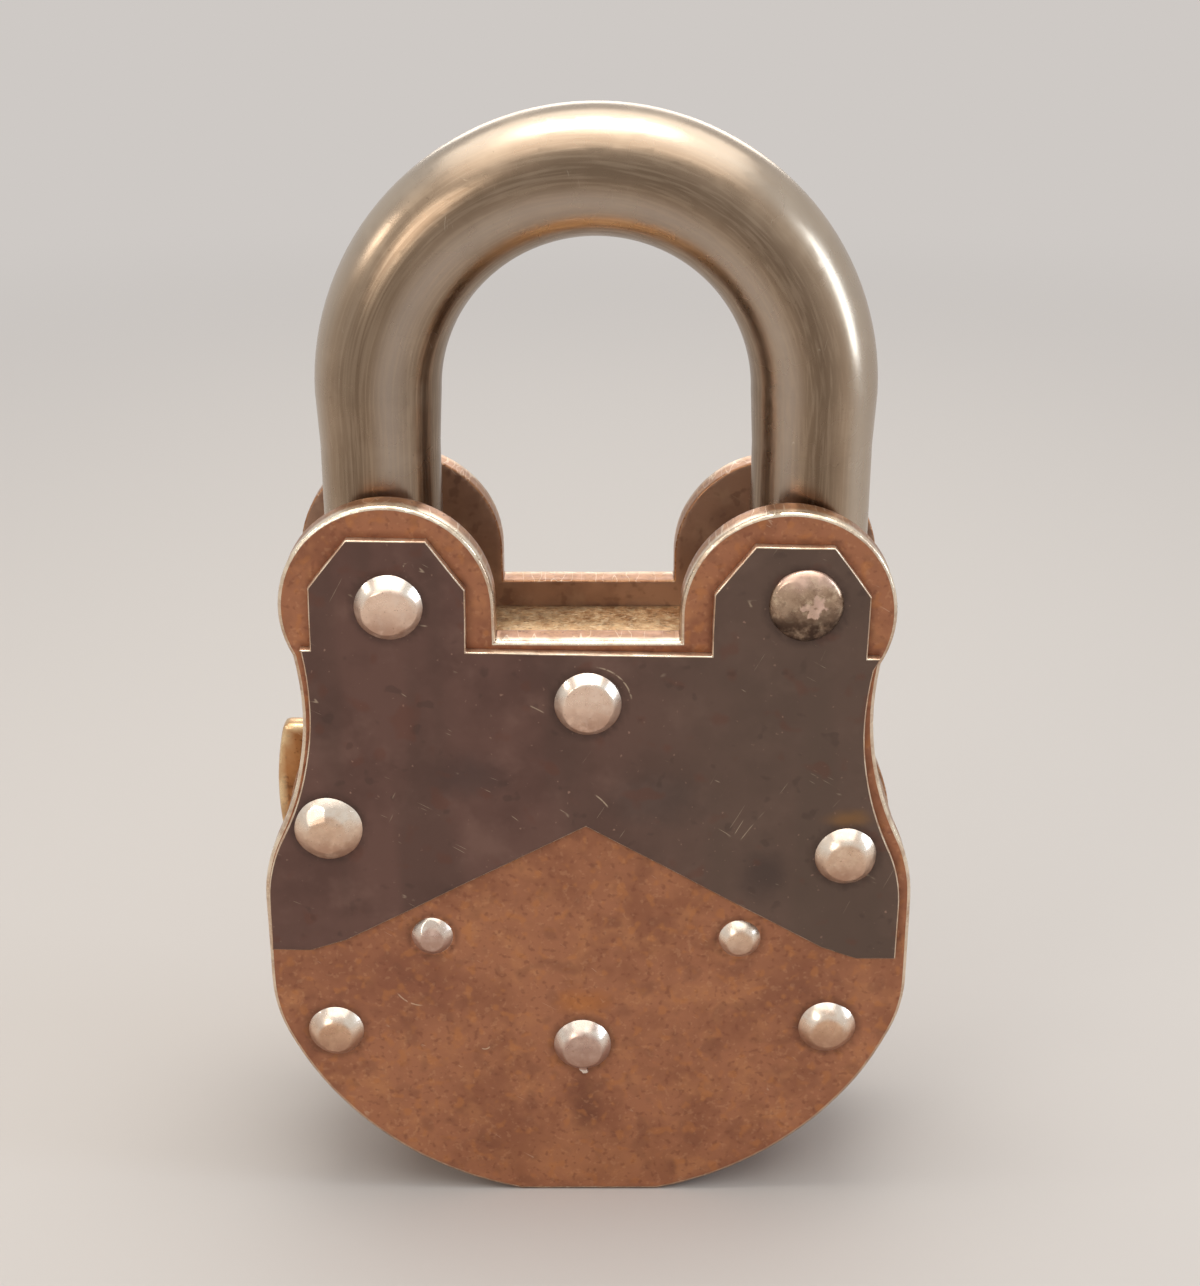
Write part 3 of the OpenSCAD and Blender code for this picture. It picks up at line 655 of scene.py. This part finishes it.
sheets = {
    # side is the way its outer face looks along Y, easing is of its outer and inner edges in mm
    "plain_side_plate": {
        "name": "plainPlate", "finish": "plainPlateBrown", "slot": "plate", "side": -1,
        "easing": (0.28, 0.12), "under": "plain_side_cheek"},
    "key_side_plate": {
        "name": "keyPlate", "finish": "plateBrown", "slot": "plate", "side": 1,
        "easing": (0.28, 0.12), "under": "key_side_cheek"},
    "plain_side_cheek": {
        "name": "plainCheek", "finish": "plainCheekDark", "slot": "cheek", "side": -1,
        "easing": (0.10, 0.05), "under": None},
    "key_side_cheek": {
        "name": "keyCheek", "finish": "cheekDark", "slot": "cheek", "side": 1,
        "easing": (0.10, 0.05), "under": None},
}
sheetWork = {
    "sharp": 50,  # degrees
    "flat": 0.97,  # how squarely a face looks along Y to be a broad face of the sheet
    "grid": 0.45, "layers": 0.4,  # mm between cuts, across a sheet and through a plate
    "dent": 0.04, "dentSize": 6.0,  # mm
    "jitter": 0.04, "jitterSize": 4.0, "jitterReach": 0.6,  # how its edges wander, mm
    "standing": 1.5,  # mm up, below which they keep their height, so that the lock stands flat
    "wornAndLitBand": (0.35, 1.1),  # mm down a wall, where the bright wear and painted highlight start to fade and end
    "lookDown": (-0.6, 0.45), "dull": 0.05,  # edges that look down keep little of the wear and painted highlight
    "patchSize": 1.6, "patches": (-0.2, 0.35), "patchLow": 0.55,  # uneven wear and painted highlight on a cheek's edge
    "keySideShare": 0.5,  # share of the wear and painted highlight that the key side has
    "ringReach": 0.6, "ringShadeAndGrime": 0.55,  # painted shade with grime round each head, mm and amount
    "coverReach": 0.5, "coverShadeAndGrime": 0.5,  # painted shade with grime on a plate, round the cheek that lies on it
    "cheekFoot": (0.1, 0.6), "cheekFootShade": 0.8,  # painted shade on those edges of a cheek that look down
}


def edgeWearAndHighlight(vert, outer, spec):
    # bare metal where the edges rub, with a painted highlight: bright where an edge faces up, dull
    # where it looks down
    lifted = sheetWork["dull"] + (1 - sheetWork["dull"]) * ease(*sheetWork["lookDown"], vert.normal.z)
    if spec["slot"] == "cheek":
        patch = ease(*sheetWork["patches"], noise.noise(vert.co / (sheetWork["patchSize"] * mm)))
        lifted *= sheetWork["patchLow"] + (1 - sheetWork["patchLow"]) * patch
    if spec["side"] > 0:
        lifted *= sheetWork["keySideShare"]
    start, end = sheetWork["wornAndLitBand"]
    return lifted * (1 - ease(start * mm, end * mm, abs(vert.co.y - outer)))


def faceShadeAndGrime(co, cover):
    # painted shade with grime round each head, and round the cheek that lies on the plate
    grimeAndShade = ringShadeAndDirt(co, sheetWork["ringReach"] * mm) * sheetWork["ringShadeAndGrime"]
    if cover:
        near = 1 - ease(0.0, sheetWork["coverReach"] * mm, cover.find(co)[2])
        grimeAndShade = max(grimeAndShade, near * sheetWork["coverShadeAndGrime"])
    return grimeAndShade


def makeSheet(node, spec):
    shape = openCopy(node)
    side = spec["side"]
    low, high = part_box(node)
    outer = low.y if side < 0 else high.y

    def onOuter(vert):
        return abs(vert.co.y - outer) < cutting["weld"] * mm

    for offset, wanted in zip(spec["easing"], (True, False)):
        edges = sharpEdges(shape, sheetWork["sharp"])
        edges = [e for e in edges if all(onOuter(v) for v in e.verts) == wanted]
        easeEdges(shape, edges, offset, False)
    # 0 is the broad outer face, 1 the edges and 2 the inner face, in the order of the materials
    flat = sheetWork["flat"]
    for face in shape.faces:
        facing = face.normal.y * side
        face.material_index = 0 if facing > flat else 2 if facing < -flat else 1
    rubTree = lookup(pointsAlong([
        e for e in shape.edges if len({f.material_index for f in e.link_faces}) > 1]))
    layers = sheetWork["layers"] if spec["slot"] == "plate" else 0
    gridCut(shape, (sheetWork["grid"], layers, sheetWork["grid"]))
    cover = None
    if spec["under"]:
        cheekCopy = openCopy(spec["under"])
        cover = lookup(pointsAlong(sharpEdges(cheekCopy)))
        cheekCopy.free()

    wearAndHighlight, dirtAndShade = [], []
    shape.normal_update()
    for vert in shape.verts:
        co = vert.co.copy()
        kinds = {f.material_index for f in vert.link_faces}
        onFace = kinds == {0}
        # wear with a painted highlight on the edges; painted shade with grime on the face, and painted
        # shade on cheek edges that look down
        wearAndHighlight.append(edgeWearAndHighlight(vert, outer, spec) if 1 in kinds else 0.0)
        if onFace:
            dirtAndShade.append(faceShadeAndGrime(co, cover))
        elif spec["slot"] == "cheek" and 1 in kinds:
            dirtAndShade.append(sheetWork["cheekFootShade"] * ease(*sheetWork["cheekFoot"], -vert.normal.z))
        else:
            dirtAndShade.append(0.0)
        if rubTree.find(co)[2] < sheetWork["jitterReach"] * mm:
            push = noise.noise_vector(co / (sheetWork["jitterSize"] * mm)) * sheetWork["jitter"] * mm
            vert.co.x += push.x
            vert.co.z += push.z if co.z > sheetWork["standing"] * mm else 0.0
        if onFace:
            swell = noise.noise(co / (sheetWork["dentSize"] * mm))
            vert.co.y -= side * sheetWork["dent"] * mm * (0.5 + 0.5 * swell)
    closeUp(
        spec["name"], shape, "case", [node], [spec["finish"], "bareEdgeAndHighlight", "plateInner"],
        {"wearAndHighlight": wearAndHighlight, "dirtAndShade": dirtAndShade})


for node, spec in sheets.items():
    makeSheet(node, spec)
print("plates and cheeks are cut")


bridgeShadowWork = {
    "line": 3.2, "slope": 0.24,  # mm back from the middle where it starts, and its slant
    "wander": 1.4, "wanderSize": 2.5, "fade": (-0.5, 0.7), "amount": 0.6,
}


def bridgeShadow(co):
    # painted shadow: the back of the bridge and its left end stay dark
    wander = bridgeShadowWork["wander"] * noise.noise(co / (bridgeShadowWork["wanderSize"] * mm))
    line = (bridgeShadowWork["line"] + bridgeShadowWork["slope"] * co.x / mm + wander) * mm
    start, full = bridgeShadowWork["fade"]
    return bridgeShadowWork["amount"] * ease(start * mm, full * mm, co.y - line)


cuts = {
    # easing and reach of the wear in mm; grid is the gap between cuts along each axis, 0 for none
    "rim_band": {
        "name": "rimBand", "body": "case", "slot": "rim", "finish": "rimBrass",
        "easing": 0.12, "grid": (1.5, 1.3, 1.5), "reach": 0.5, "wearAndHighlight": 0.7},
    "top_bridge": {
        "name": "topBridge", "body": "case", "slot": "rim", "finish": "bridgeBrass",
        # the bridge's back and left end get a painted shadow
        "easing": 0.12, "grid": (0.5, 0.5, 0), "reach": 0.3, "wearAndHighlight": 0.5, "grimeAndShade": bridgeShadow},
    "shackle": {
        "name": "shackleRod", "body": "shackle", "slot": "shackle", "finish": "shacklePewter",
        "easing": 0.3, "grid": (0, 0, 0.9), "reach": 0.5, "wearAndHighlight": 0.5},
    "keyhole_cover": {
        "name": "keyholeDrop", "body": "keyhole_cover", "slot": "cover", "finish": "coverBrass",
        "easing": 0.45, "grid": (0.9, 0, 0.9), "reach": 0.9, "wearAndHighlight": 1.0},
    "cover_washer": {
        "name": "dropWasher", "body": "case", "slot": "rim", "finish": "rimBrass",
        "easing": 0.1, "grid": (0, 0, 0), "reach": 0.3, "wearAndHighlight": 1.0},
}


def makeCut(node, spec):
    shape = openCopy(node)
    edges = sharpEdges(shape)
    rubTree = lookup(pointsAlong(edges))
    easeEdges(shape, edges, spec["easing"], True)
    gridCut(shape, spec["grid"])
    wearAndHighlight, dirtAndShade = [], []
    for vert in shape.verts:
        away = rubTree.find(vert.co)[2]
        wearAndHighlight.append(spec["wearAndHighlight"] * (1 - ease(cutting["wearTop"] * mm, spec["reach"] * mm, away)))
        dirtAndShade.append(spec["grimeAndShade"](vert.co) if "grimeAndShade" in spec else 0.0)
    closeUp(
        spec["name"], shape, spec["body"], [node], [spec["finish"]],
        {"wearAndHighlight": wearAndHighlight, "dirtAndShade": dirtAndShade})


for node, spec in cuts.items():
    makeCut(node, spec)
print("rim, bridge, shackle and drop are cut")


# rivet heads: a low puck with a rounded shoulder, hammered into flats

headWork = {
    "rings": 30, "sides": 84, "fineSteps": 400, "shankSides": 40,
    "lump": 0.02, "lumpSize": 1.2,  # how uneven its outline is
    "lowest": 0.06,  # mm that a flat leaves standing
    "smoothAngle": 32,  # degrees
    # shares of the radius or height between which they come in: wear with a painted highlight on the
    # upper shoulder, and painted shade at the foot and on the lower side
    "foot": (0.70, 1.0), "footSide": (-0.5, 0.4), "under": (-0.3, 0.8), "underShade": 0.75,
    "shoulder": (0.02, 0.16), "shoulderSide": (-0.25, 0.5), "shoulderWearAndHighlight": 0.8,
    "past": 1.02,  # share of the radius past which it is the burr
}
domeScuffAndShading = {
    # the rubbed patch on the domed head, its crown paler as a painted highlight, and painted shade on
    # its lower side
    "right": 0.55, "up": -0.1, "reach": (0.5, 0.75), "ragged": 1.1, "raggedSize": 0.45, "wearAndHighlight": 0.8,
    "crown": (0.35, 0.85), "crownWander": 0.15, "crownSize": 0.8, "crownHighlight": 0.75,
    "under": (-0.3, 0.6), "clean": 0.4,
}


def headProfile(profile, radius, height):
    # evenly spaced points from the rim in to the middle: (across, up)
    flat, bow, swell = profile
    steps = headWork["fineSteps"]
    fine = []
    for i in range(steps + 1):
        across = 1 - i / steps
        t = max(0.0, (across - flat) / (1 - flat))
        fine.append((across * radius, height * (1 - t ** bow) ** swell))
    lengths = [0.0]
    for (r0, h0), (r1, h1) in zip(fine, fine[1:]):
        lengths.append(lengths[-1] + math.hypot(r1 - r0, h1 - h0))
    points = []
    place = 0
    for ring in range(headWork["rings"] + 1):
        wanted = lengths[-1] * ring / headWork["rings"]
        while place < steps and lengths[place] < wanted:
            place += 1
        points.append(fine[place])
    return points


def addHead(shape, centre, seat, side, radius, height, spec):
    sides = headWork["sides"]
    rings = []
    for across, up in headProfile(spec["profile"], radius, height):
        row = []
        for step in range(sides if across else 1):
            turn = 2 * math.pi * step / sides
            lump = 1 - spec.get("lump", headWork["lump"]) * (1 + noise.noise((
                math.cos(turn) * headWork["lumpSize"] + centre.x / mm,
                math.sin(turn) * headWork["lumpSize"],
                centre.z / mm + side)))
            x = math.cos(turn) * across * lump
            z = math.sin(turn) * across * lump
            y = up
            for direction, tilt, level in spec.get("flats", ()):
                # direction is counted from +X towards +Z, level is the plane's height in the middle
                along = x * math.cos(math.radians(direction)) + z * math.sin(math.radians(direction))
                plane = height * level - along * math.tan(math.radians(tilt))
                y = min(y, max(plane, headWork["lowest"] * mm))
            row.append(shape.verts.new((centre.x + x, seat + side * y, centre.z + z)))
        rings.append(row)
    for below, above in zip(rings, rings[1:]):
        for step in range(sides):
            nextStep = (step + 1) % sides
            if len(above) == 1:
                shape.faces.new((below[step], below[nextStep], above[0]))
            else:
                shape.faces.new((below[step], below[nextStep], above[nextStep], above[step]))
    shape.faces.new(rings[0][::-1])


def addShank(shape, centre, low, high, radius):
    sides = headWork["shankSides"]
    rows = []
    for y in (low, high):
        rows.append([
            shape.verts.new((
                centre.x + radius * math.cos(2 * math.pi * i / sides), y,
                centre.z + radius * math.sin(2 * math.pi * i / sides)))
            for i in range(sides)])
    for i in range(sides):
        j = (i + 1) % sides
        shape.faces.new((rows[0][i], rows[0][j], rows[1][j], rows[1][i]))
    shape.faces.new(rows[0][::-1])
    shape.faces.new(rows[1])


rivets = {
    # plain is the head on the plain side, key the one behind it
    # profile: share of the radius that is flat, bow of the shoulder, swell
    # flats: (direction and tilt in degrees, level); shank and height in mm
    "toe_rivet": {
        "name": "toeRivet", "finish": "rivetBright", "slot": "bright_rivet",
        "shank": 1.5, "height": 0.95,
        "plain": {"profile": (0.60, 1.3, 1.0), "flats": [(235, 8, 0.90), (-8, 19, 1.24)]},
        "key": {"profile": (0.5, 1.5, 1.0), "flats": [(60, 6, 0.94)]},
    },
    "shackle_rivet": {
        "name": "shackleRivet", "finish": "domeDark", "slot": "dark_rivet",
        "shank": 1.5, "height": 0.95,
        "plain": {
            "profile": (0.0, 2.0, 0.6), "flats": [(150, 13, 0.99), (25, 12, 1.0)], "lump": 0.03,
            "domeScuffAndShading": True},
        "key": {"profile": (0.0, 2.0, 0.6), "lump": 0.03},
    },
    "top_rivet": {
        "name": "topRivet", "finish": "rivetBright", "slot": "bright_rivet",
        "shank": 1.5, "height": 0.95,
        "plain": {
            "profile": (0.62, 1.3, 1.0), "flats": [(125, 5, 0.95), (42, 7, 0.95), (262, 10, 0.93)]},
        "key": {"profile": (0.5, 1.5, 1.0), "flats": [(20, 7, 0.94), (170, 8, 0.94)], "lump": 0.03},
    },
    "left_waist_rivet": {
        "name": "leftWaistRivet", "finish": "rivetSteel", "slot": "rivet",
        "shank": 1.5, "height": 0.95,
        "plain": {
            "profile": (0.42, 1.35, 1.0), "lump": 0.03,
            "flats": [(250, 7, 0.86), (62, 22, 1.30), (122, 24, 1.36), (5, 22, 1.3)]},
        "key": {"profile": (0.45, 1.5, 1.0), "flats": [(120, 6, 0.94)], "lump": 0.03},
    },
    "right_waist_rivet": {
        "name": "rightWaistRivet", "finish": "rivetSteel", "slot": "rivet",
        "shank": 1.5, "height": 0.95,
        "plain": {"profile": (0.5, 1.5, 1.0), "flats": [(240, 8, 0.93), (285, 14, 1.06)], "lump": 0.03},
        "key": {"profile": (0.45, 1.5, 1.0), "flats": [(300, 7, 0.93)], "lump": 0.03},
    },
    "left_lower_rivet": {
        "name": "leftLowerRivet", "finish": "rivetDull", "slot": "rivet",
        "shank": 1.5, "height": 0.95,
        "plain": {"profile": (0.48, 1.4, 1.0), "flats": [(264, 9, 0.92)], "lump": 0.035},
        "key": {"profile": (0.4, 1.6, 1.0), "flats": [(200, 7, 0.93)], "lump": 0.03},
    },
    "right_lower_rivet": {
        "name": "rightLowerRivet", "finish": "rivetDull", "slot": "rivet",
        "shank": 1.5, "height": 0.95,
        "plain": {
            "profile": (0.42, 1.6, 1.0), "flats": [(250, 7, 0.93), (335, 16, 1.14)], "lump": 0.05},
        "key": {"profile": (0.4, 1.6, 1.0), "flats": [(70, 7, 0.93)], "lump": 0.03},
    },
    "bolt_post": {
        "name": "boltPost", "finish": "rivetPin", "slot": "rivet",
        "shank": 1.3, "height": 0.7,
        "plain": {"profile": (0.45, 1.4, 1.0), "flats": [(268, 8, 0.92), (94, 26, 1.24)], "lump": 0.04},
        "key": {"profile": (0.4, 1.6, 1.0), "lump": 0.03},
    },
    "lever_post": {
        "name": "leverPost", "finish": "rivetSteel", "slot": "rivet",
        "shank": 1.3, "height": 0.7,
        "plain": {"profile": (0.5, 1.3, 1.0), "flats": [(262, 9, 0.92)], "lump": 0.03},
        "key": {"profile": (0.4, 1.6, 1.0), "lump": 0.03},
    },
    "drill_pin": {
        "name": "drillPin", "finish": "rivetPin", "slot": "rivet",
        "shank": 1.5, "height": 0.95,
        "plain": {"profile": (0.58, 1.3, 1.0), "flats": [(268, 8, 0.92)], "burr": (0.42, 0.30)},
        "key": None,
    },
}


def addBurr(shape, centre, seat, radius, size):
    # a bright chip that was raised under the head when it was hammered
    long, wide = size
    ball = bmesh.ops.create_icosphere(shape, subdivisions=2, radius=0.5 * mm)
    for vert in ball["verts"]:
        lump = 1 + 0.5 * noise.noise(vert.co / (0.4 * mm))
        vert.co = Vector((vert.co.x * long * 2, vert.co.y * 0.5, vert.co.z * wide * 2)) * lump
        vert.co += Vector((centre.x + 0.1 * mm, seat, centre.z - radius - 0.05 * mm))


def domeWearAndHighlight(co, centre, up):
    # the rubbed scuff, and a painted highlight on the crown
    place = Vector((co.x - centre.x - domeScuffAndShading["right"] * mm, 0, co.z - centre.z - domeScuffAndShading["up"] * mm))
    ragged = domeScuffAndShading["ragged"] * mm * noise.noise(co / (domeScuffAndShading["raggedSize"] * mm))
    wander = domeScuffAndShading["crownWander"] * noise.noise(co / (domeScuffAndShading["crownSize"] * mm))
    crown = domeScuffAndShading["crownHighlight"] * ease(*domeScuffAndShading["crown"], up + wander)
    start, end = domeScuffAndShading["reach"]
    brightened = domeScuffAndShading["wearAndHighlight"] * (1 - ease(start * mm, end * mm, place.length + ragged))
    return max(crown, brightened)


def makeRivet(node, spec):
    low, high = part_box(node)
    centre = middle(node)
    radius = radiusOf(node)
    height = spec["height"] * mm
    shape = bmesh.new()
    top = high.y - height if spec["key"] else high.y
    addShank(shape, centre, low.y + height, top, spec["shank"] * mm)
    addHead(shape, centre, low.y + height, -1, radius, height, spec["plain"])
    if spec["key"]:
        addHead(shape, centre, high.y - height, 1, radius, height, spec["key"])
    if "burr" in spec["plain"]:
        addBurr(shape, centre, low.y + height, radius, spec["plain"]["burr"])
    bmesh.ops.recalc_face_normals(shape, faces=shape.faces)
    flat = spec["plain"]["profile"][0]
    shoulderStart, shoulderFull = headWork["shoulder"]
    wearAndHighlight, dirtAndShade = [], []
    for vert in shape.verts:
        out = min(vert.co.y - low.y, high.y - vert.co.y) / height
        up = (vert.co.z - centre.z) / radius
        across = math.hypot(vert.co.x - centre.x, vert.co.z - centre.z) / radius
        onBurr = across > headWork["past"]
        # on the domed head: the rubbed scuff with a painted highlight on its crown, and painted shade
        # on its lower side
        if spec["plain"].get("domeScuffAndShading"):
            wearAndHighlight.append(domeWearAndHighlight(vert.co, centre, up))
            dirtAndShade.append(ease(*domeScuffAndShading["under"], -up) if wearAndHighlight[-1] < domeScuffAndShading["clean"] else 0.0)
            continue
        # a worn shoulder with a painted highlight on its upper side, and painted shade at the foot and
        # on the lower side of the head
        shoulder = ease(flat + shoulderStart, flat + shoulderFull, across)
        shoulder *= ease(*headWork["shoulderSide"], up)
        wearAndHighlight.append(1.0 if onBurr else headWork["shoulderWearAndHighlight"] * shoulder)
        foot = ease(*headWork["foot"], out) * (1 - ease(*headWork["footSide"], up))
        under = headWork["underShade"] * ease(*headWork["under"], -up)
        dirtAndShade.append(0.0 if onBurr else max(foot, under))
    closeUp(
        spec["name"], shape, "case", [node], [spec["finish"]],
        {"wearAndHighlight": wearAndHighlight, "dirtAndShade": dirtAndShade}, sharp=headWork["smoothAngle"])


for node, spec in rivets.items():
    makeRivet(node, spec)

coverRivet = {
    "name": "dropRivet", "finish": "rivetDull", "slot": "cover", "shank": 1.5, "height": 0.95,
    "key": {"profile": (0.4, 1.6, 1.0), "flats": [(80, 7, 0.94)]},
}


def makeCoverRivet(node, spec):
    low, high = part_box(node)
    centre = middle(node)
    height = spec["height"] * mm
    shape = bmesh.new()
    addShank(shape, centre, low.y, high.y - height, spec["shank"] * mm)
    addHead(shape, centre, high.y - height, 1, radiusOf(node), height, spec["key"])
    bmesh.ops.recalc_face_normals(shape, faces=shape.faces)
    closeUp(
        spec["name"], shape, "case", [node], [spec["finish"]], {},
        sharp=headWork["smoothAngle"])


makeCoverRivet("cover_rivet", coverRivet)
print("rivets are set")


# lock work: these stay as the model has them, and only get their finish

insideFinish = {
    "plain_side_collar": "rimBrass", "key_side_collar": "rimBrass",
    "bolt": "lockWorkSteel", "bolt_stump": "lockWorkSteel",
}
for number in (1, 2, 3, 4):
    insideFinish[f"lever_{number}"] = "leverBrass"
    insideFinish[f"lever_spring_{number}"] = "leafBlue"
for node, material in insideFinish.items():
    slots = cad[node].data.materials
    slots.clear()
    slots.append(finishes[material])
print("lock work is finished")


# the floor

def makeFloor():
    half = studio["floorSize"] / 2
    mesh = bpy.data.meshes.new("studioFloor")
    corners = [(-half, -half, 0), (half, -half, 0), (half, half, 0), (-half, half, 0)]
    mesh.from_pydata(corners, [], [(0, 1, 2, 3)])
    floor = bpy.data.objects.new("studioFloor", mesh)
    material, tree, shader = newFinish("floorPale")
    shader.inputs["Base Color"].default_value = studio["floorColour"]
    shader.inputs["Roughness"].default_value = studio["floorRough"]
    # the lamps do not reach far out, so there the camera and the metal see the floor's plain colour
    coords = tree.nodes.new("ShaderNodeTexCoord")
    reach = tree.nodes.new("ShaderNodeVectorMath")
    reach.operation = "LENGTH"
    tree.links.new(coords.outputs["Object"], reach.inputs[0])
    rays = tree.nodes.new("ShaderNodeLightPath")
    seen = work(tree, "MAXIMUM", rays.outputs["Is Camera Ray"], rays.outputs["Is Glossy Ray"])
    farFloor = tree.nodes.new("ShaderNodeEmission")
    farFloor.inputs["Color"].default_value = studio["floorColour"]
    far = between(tree, reach.outputs["Value"], *studio["floorFade"])
    joined = tree.nodes.new("ShaderNodeMixShader")
    tree.links.new(work(tree, "MULTIPLY", far, seen), joined.inputs[0])
    tree.links.new(shader.outputs[0], joined.inputs[1])
    tree.links.new(farFloor.outputs[0], joined.inputs[2])
    tree.links.new(joined.outputs[0], tree.nodes["Material Output"].inputs["Surface"])
    mesh.materials.append(material)
    bpy.context.collection.objects.link(floor)


makeFloor()

bpy.context.view_layer.update()
